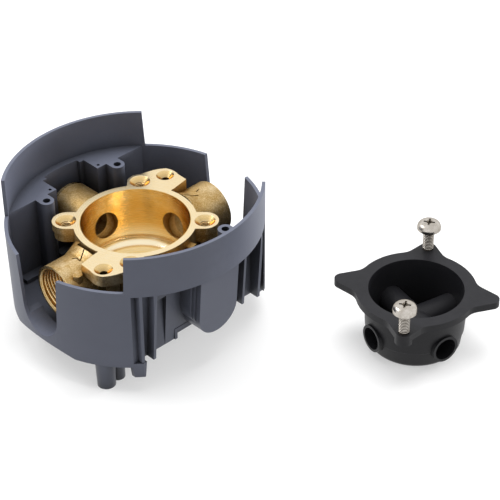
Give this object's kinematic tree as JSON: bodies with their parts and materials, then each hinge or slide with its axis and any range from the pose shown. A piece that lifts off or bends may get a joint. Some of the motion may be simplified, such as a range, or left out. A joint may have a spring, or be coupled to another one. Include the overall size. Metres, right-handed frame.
{
  "type": "concealed shower valve body",
  "caption": "Concealed shower valve body: round moulded wall box holding a cast brass mixer body with threaded ports, with its black flushing insert and screws set down beside it.",
  "frame": {"origin": "centre of the bowl's mouth on the machined rim plane", "axes": "+Z out of the bowl, towards the room when built in; +X through the right ear, +Y away from the camera; the ports lie on the diagonals"},
  "size_m": [0.2643, 0.1404, 0.0879],
  "materials": {
    "grey_moulding": "satin mould texture",
    "cast_brass": "sand cast outside, machined rim, bowl and threads",
    "zinc_steel": "zinc plated",
    "black_moulding": "satin, glass filled",
    "plated_steel": "bright nickel plated"
  },
  "bodies": {
    "root": {"housing": "grey_moulding", "brass_body": "cast_brass", "body_screws": "zinc_steel", "flush_insert": "black_moulding", "flush_screw_front": "plated_steel", "flush_screw_back": "plated_steel"}
  },
  "joints": []
}
